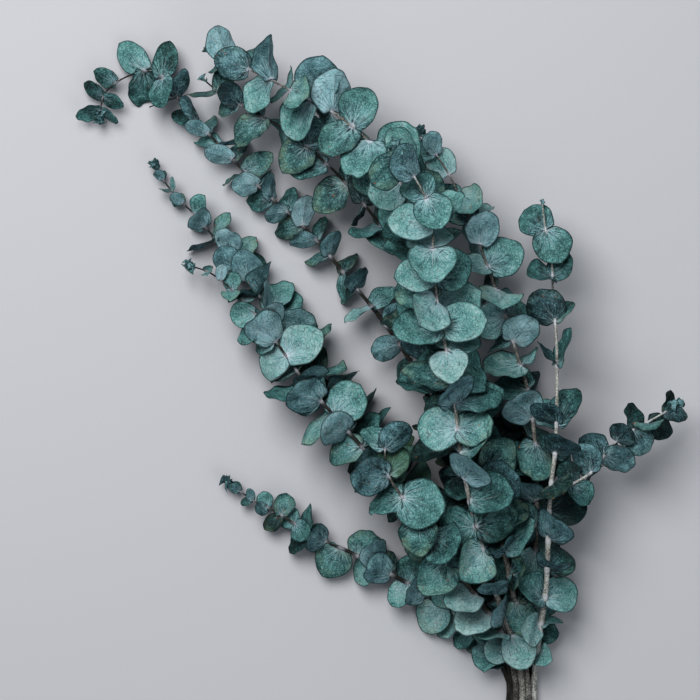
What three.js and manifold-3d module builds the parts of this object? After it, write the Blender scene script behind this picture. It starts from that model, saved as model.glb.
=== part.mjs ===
// Bunch of dried eucalyptus, laid down as it lies on a table: twelve leafy stems gathered at a grip.
// Millimetres, +Z up. The stems run along +Y from the cut ends, and the bunch lies on z = 0. It is
// drawn with the grip at x = 0, y = 0, then moved so that the middle of its footprint is the origin.
import * as THREE from "three";
import Module from "manifold-3d";

// Driving dimensions of the bunch
const GRIP_SIDE = 3.5; // thickness of the wood at the grip
const GRIP_PITCH = 4; // step from one stem to the next at the grip, sideways and upwards
const GRIP_END = 6; // y where the straight part of every stem ends
const FAN = 1.35; // how far the cut ends spread below the grip
const BLADE = 0.75; // thickness of a leaf blade
const ROOT = 1.2; // height of a leaf's root on the wood
const CLEAR = 0.35; // gap kept between two stems
const OWN_CLEAR = 0.15; // gap kept between two leaves of one stem
const TRACE_STEPS = 8; // straight pieces between two points of a route
const TOUCH = 1.5; // how far a leaf that reaches the surface may be pressed flat on it
const DEGREE = Math.PI / 180;

// Directions round a leaf, from its tip, at which a side of its outline has a corner
const BROAD_CORNERS = [136, 90, 45];
const SMALL_CORNERS = [124, 62];

// Changes tried in turn, until a leaf is clear of everything placed before it
const TRY_SIZE = [1, 0.86, 0.72];
const TRY_SPREAD = [0, -16, 14, -32];
const TRY_ROUND = [0, 24, -24, 48, -48, 75, -75];
const TRY_ROLL = [0, 30, -30];

// Every stem: its row and place at the grip, its cut end, and its centre line to the tip.
// leaf.from: how far from the grip the pairs begin. step: from pair to pair, low and at the tip.
// size: leaf lengths low, at the middle and at the tip, which change from the share hold onwards.
// first: direction of the first pair. over: share of the leaves on top that lie back over the wood.
// facing: how far the leaves turn their face to the sky. wide: width against the usual one.
// crown: pairs that are not drawn but given, from stop before the tip onwards: how far each is from
// the tip, and for its two leaves the direction round the wood, the spread, the length and the facing.
// seed: start of the draws. bud: size of the bud at the tip.
// The stems in front come first, because a leaf gives way to those placed before it.
const STEMS = [
  {
    name: "front_column", row: 2, place: 0, end: -57, thin: 0.8,
    route: [[-6, 34, 22], [-16, 62, 36], [-28, 97, 54], [-38, 134, 70], [-45, 170, 83],
      [-50, 213, 92], [-58, 250, 96], [-62, 283, 98], [-64, 319, 100], [-75, 342, 106],
      [-84, 356, 112]],
    leaf: {
      from: 22, step: [18, 16], size: [24, 29, 25], hold: 0.8, first: 0,
      over: 0.9, facing: 0.5, seed: 1101,
    },
    bud: 5,
  },
  {
    name: "right_stem", row: 1, place: 2, end: -50, thin: 0.8,
    route: [[10, 38, 24], [14, 72, 36], [15, 106, 45], [16, 138, 51], [19, 166, 54],
      [20, 198, 54], [20, 234, 52], [18, 264, 50], [17, 289, 48], [13, 311, 47],
      [11, 327, 46]],
    leaf: {
      from: 30, step: [20, 19], size: [21, 25, 26], hold: 0.7, first: -10,
      over: 0.15, facing: 0.3, stop: 128,
      crown: [
        [107, [180, 42, 20, 0], [0, 26, 26, 0.5]],
        [78, [150, 38, 25, 0.7], [-10, 45, 18, 0]],
        [48, [150, 75, 20, 0.25], [-20, 40, 18, 0.5]],
        [17, [60, 154, 26, 0.95], [178, 44, 23, 0.95]],
      ],
      seed: 2203,
    },
    bud: 2,
    twigs: [
      {
        route: [[16, 138, 51], [32, 144, 50], [45, 152, 47], [53, 163, 44], [64, 174, 41],
          [79, 182, 38], [98, 193, 35]],
        leaf: {
          from: 15, step: [15, 11], size: [17, 20, 15], hold: 0.7, first: 10,
          over: 0.3, facing: 0.35, seed: 2309,
        },
        bud: 5,
      },
    ],
  },
  {
    name: "upper_arch", row: 2, place: 1, end: -44, thin: 0.75,
    route: [[-2, 37, 20], [-8, 72, 36], [-19, 119, 52], [-33, 172, 64], [-51, 225, 70],
      [-62, 270, 70], [-71, 311, 68], [-85, 344, 64], [-104, 368, 60], [-126, 386, 56],
      [-148, 398, 52], [-171, 410, 48], [-191, 420, 44], [-209, 428, 42]],
    leaf: {
      from: 44, step: [20, 15], size: [25, 29, 26], hold: 0.85, first: 20,
      over: 0.5, facing: 0.5, seed: 3301,
    },
    bud: 5,
  },
  {
    name: "right_column", row: 1, place: 0.5, end: -55, thin: 0.75,
    route: [[3, 37, 12], [6, 71, 20], [8, 118, 32], [7, 162, 40], [3, 198, 44], [-5, 226, 46],
      [-12, 249, 46], [-20, 272, 45], [-29, 297, 44], [-39, 323, 42], [-52, 350, 40],
      [-67, 372, 38]],
    leaf: {
      from: 38, step: [19, 16], size: [22, 27, 19], hold: 0.75, first: -30,
      over: 0.5, facing: 0.45, seed: 4409,
    },
    bud: 5,
  },
  {
    name: "middle_arch", row: 1, place: -0.5, end: -48, thin: 0.75,
    route: [[-6, 37, 13], [-17, 71, 24], [-34, 119, 38], [-50, 172, 46], [-64, 231, 48],
      [-77, 285, 46], [-96, 314, 43], [-120, 343, 40], [-141, 363, 38], [-162, 379, 36],
      [-182, 390, 34], [-199, 399, 32], [-212, 410, 31]],
    leaf: {
      from: 52, step: [21, 17], size: [23, 26, 22], hold: 0.85, first: 0,
      over: 0.2, facing: 0.15, wide: 0.9, seed: 5501,
    },
    bud: 5,
  },
  {
    name: "low_branch", row: 2, place: -1, end: -40, thin: 0.9,
    route: [[-11, 34, 20], [-26, 60, 34], [-47, 88, 48], [-64, 113, 56], [-80, 133, 58],
      [-91, 151, 58], [-93, 172, 56]],
    leaf: {
      from: 26, step: [17, 17], size: [24, 29, 24], hold: 0.8, first: 45,
      over: 0.6, facing: 0.4, seed: 6607,
    },
    bud: 4,
  },
  {
    name: "left_inner", row: 1, place: -1.5, end: -54, thin: 0.7,
    route: [[-14, 37, 15], [-28, 62, 25], [-51, 92, 33], [-73, 122, 39], [-94, 152, 41],
      [-113, 173, 40], [-129, 191, 38], [-143, 207, 36], [-157, 226, 33], [-170, 244, 30],
      [-182, 259, 27], [-194, 271, 24], [-208, 282, 21], [-221, 287, 18]],
    leaf: {
      from: 36, step: [18, 10], size: [22, 27, 9], hold: 0.72, first: 15,
      over: 0.55, facing: 0.45, seed: 7703,
    },
    bud: 4,
  },
  {
    name: "far_arch", row: 0, place: 0, end: -52, thin: 0.7,
    route: [[-7, 36, 8], [-17, 70, 14], [-33, 118, 20], [-49, 164, 22], [-69, 212, 20],
      [-91, 247, 17], [-116, 278, 16], [-144, 311, 15], [-174, 338, 15], [-199, 364, 15],
      [-219, 385, 14], [-232, 401, 14], [-241, 413, 14], [-252, 418, 14], [-263, 415, 13],
      [-274, 409, 12], [-281, 401, 11], [-283, 389, 10]],
    leaf: {
      from: 66, step: [20, 11], size: [19, 21, 20], hold: 0.82, first: -40,
      over: 0.2, facing: 0, wide: 0.72, seed: 8807, stop: 88,
      crown: [
        [75, [0, 60, 20, 0.85], [180, 80, 19, 0]],
        [59, [0, 62, 25, 0.9], [180, 118, 26, 0.9]],
        [46, [0, 32, 26, 0.85], [180, 78, 26, 0.95]],
        [25, [0, 55, 17, 0.4], [180, 60, 17, 0.6]],
        [12, [0, 98, 16, 0.6], [180, 86, 15, 0.6]],
        [3, [0, 75, 17, 0.8], [180, 60, 14, 0.7]],
      ],
    },
    bud: 4,
  },
  {
    name: "left_outer", row: 0, place: -1, end: -47, thin: 0.7,
    route: [[-12, 36, 6], [-27, 63, 11], [-45, 94, 14], [-69, 127, 16], [-92, 159, 16],
      [-111, 183, 15], [-128, 204, 15], [-144, 228, 15], [-160, 248, 15], [-174, 264, 14],
      [-186, 281, 14], [-196, 295, 14], [-207, 307, 13], [-219, 321, 12], [-231, 333, 11],
      [-240, 344, 10], [-245, 353, 9]],
    leaf: {
      from: 46, step: [18, 10], size: [21, 24, 8], hold: 0.78, first: 10,
      over: 0.1, facing: -0.2, seed: 9901,
    },
    bud: 4,
  },
  {
    name: "low_left", row: 0, place: -2, end: -42, thin: 0.8,
    route: [[-19, 29, 5], [-35, 47, 9], [-55, 61, 12], [-75, 74, 15], [-94, 84, 15],
      [-114, 95, 14], [-132, 103, 13], [-150, 113, 12], [-166, 123, 11], [-179, 129, 10],
      [-189, 136, 9], [-197, 142, 8]],
    leaf: {
      from: 17, step: [15, 10], size: [21, 21, 8], hold: 0.62, first: 10,
      over: 0.3, facing: 0.35, seed: 1013,
    },
    bud: 4,
  },
  {
    name: "back_right", row: 0, place: 2, end: -56, thin: 0.9,
    route: [[7, 36, 6], [8, 70, 11], [7, 111, 15], [4, 151, 17], [0, 184, 17], [-6, 214, 16]],
    leaf: {
      from: 36, step: [21, 19], size: [20, 24, 20], hold: 0.8, first: 25,
      over: 0.4, facing: 0.4, seed: 1103,
    },
    bud: 4,
  },
  {
    name: "back_column", row: 0, place: 1, end: -38, thin: 0.9,
    route: [[1, 36, 4], [-3, 70, 10], [-10, 111, 16], [-15, 144, 17], [-21, 178, 17],
      [-27, 208, 16]],
    leaf: {
      from: 48, step: [21, 19], size: [22, 26, 20], hold: 0.8, first: -20,
      over: 0.4, facing: 0.4, seed: 1201,
    },
    bud: 4,
  },
];

const wasm = await Module();
wasm.setup();

// Small vector helpers on [x, y, z]
const add = (a, b, k = 1) => [a[0] + b[0] * k, a[1] + b[1] * k, a[2] + b[2] * k];
const dot = (a, b) => a[0] * b[0] + a[1] * b[1] + a[2] * b[2];
const cross = (a, b) => [
  a[1] * b[2] - a[2] * b[1], a[2] * b[0] - a[0] * b[2], a[0] * b[1] - a[1] * b[0],
];
const scaled = (a, k) => [a[0] * k, a[1] * k, a[2] * k];
const unit = (a) => scaled(a, 1 / Math.hypot(...a));
const mix = (a, b, t) => a + (b - a) * t;
const smooth = (a, b, x) => {
  const t = Math.min(1, Math.max(0, (x - a) / (b - a)));
  return t * t * (3 - 2 * t);
};

// Repeatable draws between 0 and 1
function draws(seed) {
  let state = seed;
  return () => {
    state = (state * 16807) % 2147483647;
    return state / 2147483647;
  };
}

// A smooth line through the points of a route, as short straight pieces with their lengths
function traced(lead, points, before) {
  const last = points.length - 1;
  const ahead = before ?? add(scaled(points[0], 2), points[1], -1);
  const past = add(scaled(points[last], 2), points[last - 1], -1);
  const all = [ahead, ...points, past];
  const line = [...lead];
  for (let i = 1; i <= last; i++) {
    const [p0, p1, p2, p3] = all.slice(i - 1, i + 3);
    for (let j = 0; j < TRACE_STEPS; j++) {
      const t = j / TRACE_STEPS;
      line.push(p1.map((v, k) => 0.5 * (2 * v + (p2[k] - p0[k]) * t
        + (2 * p0[k] - 5 * v + 4 * p2[k] - p3[k]) * t * t
        + (3 * v - p0[k] - 3 * p2[k] + p3[k]) * t * t * t)));
    }
  }
  line.push(points[last]);
  const length = [0];
  for (let i = 1; i < line.length; i++) {
    length.push(length[i - 1] + Math.hypot(...add(line[i], line[i - 1], -1)));
  }
  return { line, length, total: length[length.length - 1] };
}

function pointAt(trace, s) {
  const { line, length } = trace;
  let i = 1;
  while (i < line.length - 1 && length[i] < s) i++;
  const t = (s - length[i - 1]) / (length[i] - length[i - 1]);
  return add(line[i - 1], add(line[i], line[i - 1], -1), t);
}

// The place on a centre line with its direction, the direction to the sky and the one across
function frameAt(trace, s) {
  const origin = pointAt(trace, s);
  const along = unit(add(pointAt(trace, Math.min(s + 2, trace.total)),
    pointAt(trace, Math.max(s - 2, 0)), -1));
  const up = unit(add([0, 0, 1], along, -along[2]));
  return { origin, along, up, across: cross(along, up) };
}

// A closed solid, turned the right way round
function solid(points, faces) {
  const build = (list) => new wasm.Manifold(new wasm.Mesh({
    numProp: 3,
    vertProperties: new Float32Array(points.flat()),
    triVerts: new Uint32Array(list.flat()),
  }));
  const made = build(faces);
  return made.volume() > 0 ? made : build(faces.map(([a, b, c]) => [a, c, b]));
}

// Where a leaf sits and how it is shaped, after one of the changes tried
function leafPose(plan, change) {
  const { frame, radius } = plan;
  const round = (plan.round + change.round) * DEGREE;
  const spread = Math.max(14, plan.spread + change.spread) * DEGREE;
  const size = plan.size * change.size;
  const out = add(scaled(frame.across, Math.cos(round)), frame.up, Math.sin(round));
  let along = add(scaled(frame.along, Math.cos(spread)), out, Math.sin(spread));
  const lowest = -(frame.origin[2] - 0.9) / (1.05 * size);
  if (along[2] < lowest) {
    const flat = Math.hypot(along[0], along[1]);
    const k = Math.sqrt(1 - lowest * lowest) / flat;
    along = [along[0] * k, along[1] * k, lowest];
  }
  const plain = unit(cross(along, cross(frame.along, out)));
  const sky = unit(add([0, 0, 1], along, -along[2]));
  const side = dot(plain, sky) < -0.2 ? -1 : 1;
  let normal = unit(add(scaled(plain, 1 - plan.facing), sky, side * plan.facing));
  const roll = change.roll * DEGREE;
  normal = unit(add(scaled(normal, Math.cos(roll)), cross(along, normal), Math.sin(roll)));
  const across = cross(normal, along);
  return { origin: frame.origin, along, across, normal, size, radius, plan };
}

// A point of the blade, u along it and v across it, both as shares of its length
function bladePoint(pose, u, v) {
  const { plan, size } = pose;
  const lift = 4 * plan.cup * v * v + plan.arch * u * u
    + 2 * plan.wave * v * Math.sin(5 * u + plan.phase);
  const p = add(add(pose.origin, pose.along, u * size), pose.across, v * size);
  return add(p, pose.normal, lift * size);
}

function outline(plan, angle) {
  const a = angle * DEGREE;
  return [0.5 + 0.5 * Math.cos(a), plan.width * Math.sin(a) * (1 - plan.egg * Math.cos(a))];
}

// The corners of the blade on its upper and lower face: the middle, then each side from the root
// towards the tip, then the tip
function leafPoints(pose) {
  const angles = pose.plan.small ? SMALL_CORNERS : BROAD_CORNERS;
  const side = angles.map((angle) => outline(pose.plan, angle));
  const flat = [[0.5, 0], ...side, ...side.map(([u, v]) => [u, -v]), [1.01, 0]];
  const upper = flat.map(([u, v]) => bladePoint(pose, u, v));
  return { upper, lower: upper.map((p) => add(p, pose.normal, -BLADE)) };
}

// Presses a leaf that reaches a little below the surface flat on it
function pressed({ upper, lower }) {
  const dip = Math.min(...upper.map((p) => p[2]), ...lower.map((p) => p[2]));
  if (dip < -TOUCH) return null;
  const held = (list, other) => list.map((p, i) => (
    [p[0], p[1], Math.max(p[2], p[2] > other[i][2] ? BLADE : 0)]));
  return dip >= 0 ? { upper, lower } : { upper: held(upper, lower), lower: held(lower, upper) };
}

// A leaf grown out of an open facet of the wood, given as its four corners in order.
// Its own corners come after the four; the root turns to whichever side of the facet suits it.
function leafBody(pose, facet) {
  const points = pressed(leafPoints(pose));
  if (!points) return null;
  const { upper, lower } = points;
  const side = (upper.length - 2) / 2;
  const count = upper.length;
  const facing = facet.reduce((sum, p, i) => add(sum, cross(p, facet[(i + 1) % 4])), [0, 0, 0]);
  const near = [[0.06, 1, 0], [0.06, 1, 1], [0.06, -1, 1], [0.06, -1, 0]].map(([u, v, low]) => (
    add(bladePoint(pose, u, v * 0.06), pose.normal, -BLADE * low)));
  const turned = near.reduce((sum, p, i) => add(sum, cross(p, near[(i + 1) % 4])), [0, 0, 0]);
  const swap = dot(facing, pose.along) * dot(turned, pose.along) < 0;
  const target = swap ? [near[3], near[2], near[1], near[0]] : near;
  const turns = [0, 1, 2, 3].map((turn) => target.reduce((sum, p, i) => (
    sum + Math.hypot(...add(p, facet[(i + turn) % 4], -1)) ** 2), 0));
  const turn = turns.indexOf(Math.min(...turns));
  const root = [0, 1, 2, 3].map((i) => (i + turn) % 4);
  const at = (high, index) => 4 + (high ? 0 : count) + index;
  const run = (high, start) => Array.from({ length: side }, (_, j) => at(high, start + j));
  const left = (high) => [root[high ? 0 : 1], ...run(high, swap ? 1 + side : 1), at(high, count - 1)];
  const right = (high) => [root[high ? 3 : 2], ...run(high, swap ? 1 : 1 + side), at(high, count - 1)];
  const [lt, lb, rb, rt] = [left(true), left(false), right(false), right(true)];
  const faces = [[rt[0], lt[0], at(true, 0)], [lb[0], rb[0], at(false, 0)]];
  for (let j = 0; j + 1 < lt.length; j++) {
    faces.push([lt[j], lb[j], lb[j + 1]], [lt[j], lb[j + 1], lt[j + 1]]);
    faces.push([rb[j], rt[j], rt[j + 1]], [rb[j], rt[j + 1], rb[j + 1]]);
    faces.push([lt[j], lt[j + 1], at(true, 0)], [rt[j + 1], rt[j], at(true, 0)]);
    faces.push([rb[j], rb[j + 1], at(false, 0)], [lb[j + 1], lb[j], at(false, 0)]);
  }
  const corners = [...upper, ...lower];
  const closed = [...faces, [root[0], root[3], root[2]], [root[0], root[2], root[1]]];
  return { corners, faces, body: solid([...facet, ...corners], closed) };
}

// Everything a shoot carries, worked out before any leaf is placed
function planShoot(shoot, trace, radiusAt, straight) {
  const { step, size, hold, first, seed, over, facing } = shoot.leaf;
  const { wide = 1, stop = 3, crown = [] } = shoot.leaf;
  const from = straight + shoot.leaf.from;
  const next = draws(seed);
  const nodes = [];
  const last = trace.total - stop;
  const pairs = [];
  for (let s = from; s < last; s += mix(step[0], step[1], (s - from) / (last - from))) {
    pairs.push({ s, set: [] });
  }
  for (const [back, ...set] of crown) pairs.push({ s: trace.total - back, set });
  for (const { s, set } of pairs) {
    const t = Math.min(1, (s - from) / (last - from));
    const frame = frameAt(trace, s);
    const low = smooth(0, 0.3, t);
    const young = set.length ? 0 : smooth(hold, 1, t);
    const drawn = first + (next() - 0.5) * 24;
    const twist = set.length ? set[0][0] - (nodes.length % 4) * 90 : drawn;
    const node = { s, twist, leaves: [] };
    for (let half = 0; half < 2; half++) {
      const q = Array.from({ length: 10 }, next);
      const facet = (nodes.length + half * 2) % 4;
      const drawnRound = twist + facet * 90 + (q[1] - 0.5) * 30;
      const above = Math.sin(drawnRound * DEGREE) > 0.6;
      const back = above && q[9] < over;
      const drawnSpread = (mix(74, 40, young) + (q[2] - 0.5) * 34) * (above ? 0.7 : 1);
      const grown = mix(size[0], size[1], low) + (size[2] - size[1]) * young;
      const plain = [drawnRound, back ? mix(122, 150, q[2]) : drawnSpread,
        grown * (0.88 + 0.22 * q[0]), facing + (1 - facing) * 0.8 * q[3]];
      const [round, spread, length, faces] = set[half] ?? plain;
      node.leaves.push({
        frame,
        facet,
        radius: radiusAt(s),
        round,
        spread,
        size: length,
        small: length < 15,
        facing: faces,
        width: mix(0.53, 0.42, young) * (0.9 + 0.18 * q[4]) * wide,
        egg: mix(0.16, 0.02, young),
        cup: mix(-0.03, 0.17, q[5]),
        arch: mix(-0.22, 0.12, q[6]),
        wave: mix(-0.1, 0.1, q[7]),
        phase: 6.28 * q[8],
      });
    }
    nodes.push(node);
  }
  return nodes;
}

// The wood of a shoot: four-sided sections along its centre line, two close together at every
// pair of leaves, and at the tip a pointed bud. Facets that carry a leaf can be left open.
function makeShoot(shoot, trace, radiusAt, straight) {
  const nodes = planShoot(shoot, trace, radiusAt, straight);
  const sections = [];
  const section = (s, radius, twist) => sections.push({ s, radius, twist });
  section(0, radiusAt(0), 0);
  if (straight) {
    section(straight, radiusAt(straight), 0);
    section(straight + 14, radiusAt(straight + 14), 0);
    section(straight + 30, radiusAt(straight + 30), 0);
  }
  for (const node of nodes) {
    const before = sections[sections.length - 1];
    const gap = node.s - before.s;
    const pieces = Math.ceil(gap / 32);
    for (let k = 1; k < pieces; k++) {
      const s = before.s + (gap * k) / pieces;
      section(s, radiusAt(s), mix(before.twist, node.twist, k / pieces));
    }
    node.ring = sections.length;
    section(node.s - ROOT / 2, radiusAt(node.s) * 1.08, node.twist);
    section(node.s + ROOT / 2, radiusAt(node.s) * 1.08, node.twist);
  }
  const twist = sections[sections.length - 1].twist;
  section(trace.total, radiusAt(trace.total), twist);
  const end = frameAt(trace, trace.total);
  const points = [];
  const ring = ({ origin, up, across }, radius, turn) => {
    for (let k = 0; k < 4; k++) {
      const a = (turn - 45 + 90 * k) * DEGREE;
      points.push(add(add(origin, across, radius * Math.cos(a)), up, radius * Math.sin(a)));
    }
  };
  for (const { s, radius, twist: turn } of sections) ring(frameAt(trace, s), radius, turn);
  for (const [ahead, swell] of [[0.25, 0.36], [0.6, 0.3]]) {
    const origin = add(end.origin, end.along, ahead * shoot.bud);
    ring({ ...end, origin }, swell * shoot.bud, twist);
  }
  points.push(add(end.origin, end.along, 1.2 * shoot.bud));
  const rings = sections.length + 2;
  const open = new Set(nodes.flatMap((node) => node.leaves.map((leaf) => node.ring * 4 + leaf.facet)));
  const wall = (i, k) => {
    const a = i * 4 + k;
    const b = i * 4 + ((k + 1) % 4);
    return [[a, a + 4, b], [b, a + 4, b + 4]];
  };
  const faces = [[0, 1, 2], [0, 2, 3]];
  const covers = [];
  for (let i = 0; i + 1 < rings; i++) {
    for (let k = 0; k < 4; k++) (open.has(i * 4 + k) ? covers : faces).push(...wall(i, k));
  }
  for (let k = 0; k < 4; k++) {
    faces.push([(rings - 1) * 4 + k, points.length - 1, (rings - 1) * 4 + ((k + 1) % 4)]);
  }
  const leaves = nodes.flatMap((node) => node.leaves.map((plan) => {
    const a = node.ring * 4 + plan.facet;
    const b = node.ring * 4 + ((plan.facet + 1) % 4);
    return { plan, facet: [a, a + 4, b + 4, b], cover: wall(node.ring, plan.facet) };
  }));
  return { points, faces, leaves, wood: solid(points, [...faces, ...covers]) };
}

// Centre lines and wood of a stem with its side twigs
function makeStem(stem) {
  const x = stem.place * GRIP_PITCH;
  const z = GRIP_SIDE / 2 + stem.row * GRIP_PITCH;
  const grip = [x, GRIP_END, z];
  const trace = traced([[x * FAN, stem.end, z], [x, -1, z]], [grip, ...stem.route], [x, -24, z]);
  const thick = (s) => mix(GRIP_SIDE, stem.thin, Math.max(0, (s - 70) / (trace.total - 70)));
  const shoots = [makeShoot(stem, trace, (s) => thick(s) * Math.SQRT1_2, 5 - stem.end)];
  for (const twig of stem.twigs ?? []) {
    const line = traced([], twig.route);
    shoots.push(makeShoot(twig, line, (s) => mix(1.5, 1, s / line.total) * Math.SQRT1_2, 0));
  }
  return { stem, shoots };
}

function close(boxA, boxB, gap) {
  return [0, 1, 2].every((k) => boxA.min[k] - gap < boxB.max[k] && boxB.min[k] - gap < boxA.max[k]);
}

// Grows a leaf with the first change that keeps it clear of all that is placed already
function placeLeaf(plan, facet, own, others, wood) {
  const clear = (item, body, box, gap) => !close(box, item.box, gap)
    || body.minGap(item.body, gap + 0.1) >= gap;
  for (const size of TRY_SIZE) {
    for (const spread of TRY_SPREAD) {
      for (const round of TRY_ROUND) {
        for (const roll of TRY_ROLL) {
          const leaf = leafBody(leafPose(plan, { size, spread, round, roll }), facet);
          if (!leaf) continue;
          const box = leaf.body.boundingBox();
          if (!others.every((item) => clear(item, leaf.body, box, CLEAR))) continue;
          if (!own.every((item) => clear(item, leaf.body, box, OWN_CLEAR))) continue;
          if (wood.intersect(leaf.body).volume() > 1e-4) continue;
          return { ...leaf, box };
        }
      }
    }
  }
  return null;
}

// Grows every leaf of a stem and joins its wood, leaves and twigs into one closed body
function growStem({ stem, shoots }, placed, woods) {
  const own = [];
  let dropped = 0;
  const parts = shoots.map(({ points, faces, leaves, wood }) => {
    for (const { plan, facet, cover } of leaves) {
      const corners = facet.map((index) => points[index]);
      const leaf = placeLeaf(plan, corners, own, [...placed, ...woods], wood);
      if (!leaf) {
        dropped += 1;
        faces.push(...cover);
        continue;
      }
      const offset = points.length - 4;
      points.push(...leaf.corners);
      faces.push(...leaf.faces.map((face) => face.map((i) => (i < 4 ? facet[i] : i + offset))));
      own.push({ body: leaf.body, box: leaf.box });
    }
    return solid(points, faces);
  });
  const body = parts.length > 1 ? wasm.Manifold.union(parts) : parts[0];
  console.log(stem.name, "leaves", own.length, "left out", dropped, "triangles", body.numTri());
  return { name: stem.name, body, own };
}

const stems = STEMS.map(makeStem);
const placed = [];
const grown = [];
for (const item of stems) {
  const woods = stems.filter((other) => other !== item).flatMap((other) => (
    other.shoots.map(({ wood }) => ({ body: wood, box: wood.boundingBox() }))));
  const result = growStem(item, placed, woods);
  placed.push(...result.own);
  grown.push(result);
}

const boxes = grown.map(({ body }) => body.boundingBox());
const middle = (k) => (Math.min(...boxes.map((box) => box.min[k]))
  + Math.max(...boxes.map((box) => box.max[k]))) / 2;
const shift = [-middle(0), -middle(1), 0];
console.log("moved by", shift.map((v) => v.toFixed(2)).join(" "));

const bunch = new THREE.Group();
bunch.name = "dried_eucalyptus_bunch";
for (const { name, body } of grown) {
  const mesh = body.translate(shift).getMesh();
  const geometry = new THREE.BufferGeometry();
  const points = new THREE.BufferAttribute(new Float32Array(mesh.vertProperties), 3);
  geometry.setAttribute("position", points);
  geometry.setIndex(new THREE.BufferAttribute(new Uint32Array(mesh.triVerts), 1));
  const node = new THREE.Mesh(geometry);
  node.name = name;
  bunch.add(node);
}

export default bunch;
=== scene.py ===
# Bunch of dried eucalyptus lying on a pale floor, seen from above: twelve leafy stems with thin
# cupped leaves in pairs, mottled bark and crumpled tips. The leaves of the frame's solids are
# found again from the same values, and each gets a finer leaf in its place.
import math
from itertools import product

import bpy
import numpy as np
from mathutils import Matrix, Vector
from mathutils.kdtree import KDTree


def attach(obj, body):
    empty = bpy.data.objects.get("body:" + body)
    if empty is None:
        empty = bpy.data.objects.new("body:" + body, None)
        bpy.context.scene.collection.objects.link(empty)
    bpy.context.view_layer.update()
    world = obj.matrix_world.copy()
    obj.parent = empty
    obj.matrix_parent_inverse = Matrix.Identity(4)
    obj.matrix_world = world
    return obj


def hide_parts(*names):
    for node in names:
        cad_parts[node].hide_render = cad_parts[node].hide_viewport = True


MM = 0.001
DEGREE = math.pi / 180

# The solid wood, in millimetres, as the frame has it
GRIP_SIDE = 3.5  # thickness at the grip
GRIP_PITCH = 4  # step from one stem to the next at the grip, sideways and upwards
GRIP_LEAD = -24  # y of the point that gives the centre line its direction into the grip
GRIP_START = -1  # y where the grip begins
GRIP_END = 6  # y where the straight part of every stem ends
LEAF_ZERO = 5  # y from which the places of the leaves are counted
FAN = 1.35  # how far the cut ends spread below the grip
TAPER_START = 70  # length along a stem from which it gets thinner
TWIG_SIDES = (1.5, 1)  # thickness of a twig at its root and at its tip
TRACE_STEPS = 8  # straight pieces between two points of a route
LOOK = 2  # length before and after a place that gives the wood's direction there
STRAIGHT_STEM = "far_arch"  # its cut end is drawn at x = 0

# The solid leaves, in millimetres, degrees and shares of a leaf's length, as they were drawn.
# Two numbers are an old leaf and a young one, or the lowest and the highest draw.
BLADE = 0.75  # thickness
BARE_TIP = 3  # length without leaves at a stem's tip
PAIR_TWIST = 24  # how much the direction of a pair varies
LEAF_TWIST = 30  # how much the direction of a leaf varies within its pair
ABOVE = 0.6  # sine of the direction from which a leaf counts as above the wood
SPREAD = (74, 40)  # angle between leaf and stem
SPREAD_DRAW = 34
SPREAD_ABOVE = 0.7  # share of the angle that leaves above the wood keep
SPREAD_OVER = (122, 150)  # angle of leaves that are folded back over the wood
LEAST_SPREAD = 14
LENGTH_DRAW = (0.88, 0.22)  # shortest share of the planned length, and how much may be added
FACING_DRAW = 0.8
SMALL_LEAF = 15  # length under which a leaf has fewer corners
WIDTH = (0.53, 0.42)
WIDTH_DRAW = (0.9, 0.18)  # narrowest share of the planned width, and how much may be added
EGG = (0.16, 0.02)  # how much wider a leaf is towards its root
CUP = (-0.03, 0.17)
ARCH = (-0.22, 0.12)
WAVE = (-0.1, 0.1)
PHASE = 6.28
BROAD_CORNERS = [136, 90, 45]  # directions of a broad leaf's corners round it, from its tip
SMALL_CORNERS = [124, 62]
TIP_PLACE = 1.01  # where the tip's corner is along the leaf
FACE_DOWN = -0.2  # how far a leaf's face may look down before the other one is turned up
TIP_REACH = 1.05  # how far along the leaf it has to stay over the surface
TIP_ROOM = 0.9  # height that its tip keeps over the surface
TOUCH = 1.5  # how far a leaf that reaches the surface may be pressed flat on it

# The changes with which every leaf was tried, until it was clear of the others
TRY_SIZE = [1, 0.86, 0.72]
TRY_SPREAD = [0, -16, 14, -32]
TRY_ROUND = [0, 24, -24, 48, -48, 75, -75]
TRY_ROLL = [0, 30, -30]
SAME_PLACE = 0.02  # mm within which a corner of the frame is the one that was drawn
SAME_CORNERS = 3  # corners that have to be there
SAME_END = 0.01  # mm within which corners belong to one cut end

# The fine leaves, in millimetres and shares
LEAF_THICK = 0.36  # thickness at the middle
RIM_THICK = 0.12  # thickness at the edge
OFF_FLOOR = 0.03  # gap between the floor and all that lies on it
BROAD_RINGS = [0, 0.2, 0.4, 0.58, 0.74, 0.87, 0.955, 1]  # shares of the way out from the middle
SMALL_RINGS = [0, 0.3, 0.6, 0.85, 1]
BROAD_STEPS = 40  # corners round a leaf
SMALL_STEPS = 24
UNEVEN = (0.024, 0.01)  # how far the edge is from a smooth oval, in 3 and in 7 waves
TIP_POINT = 0.02
TIP_POINT_WIDTH = 7  # degrees round the leaf
LOBE = 0.1  # how far the lobes beside the root reach back
LOBE_TURN = 152  # degrees from the tip
LOBE_WIDTH = 16
RUFFLE = (0.004, 0.03)
RUFFLES = [5, 6, 7, 8]  # waves round the edge
CURL = (-0.04, 0.045)
CREASE = 0.022  # depth of the midrib
CREASE_WIDTH = 0.05
CREASE_FADE = 0.6  # how much of it is lost at the edge
DENT = (0.008, 0.028)
DENT_WAVES = (9, 8)  # how close the dents are, along and across
FOLDS = [0, 0, 0, 0.12, 0.26, -0.12]  # half of the leaves are folded along the midrib
FOLD_REACH = (0.05, 0.4)  # along the leaf, where the fold opens
FAN_FOLD = 0.006  # height of the small folds that fan out from the root
FAN_FOLDS = 11  # number of them all the way round
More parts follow.
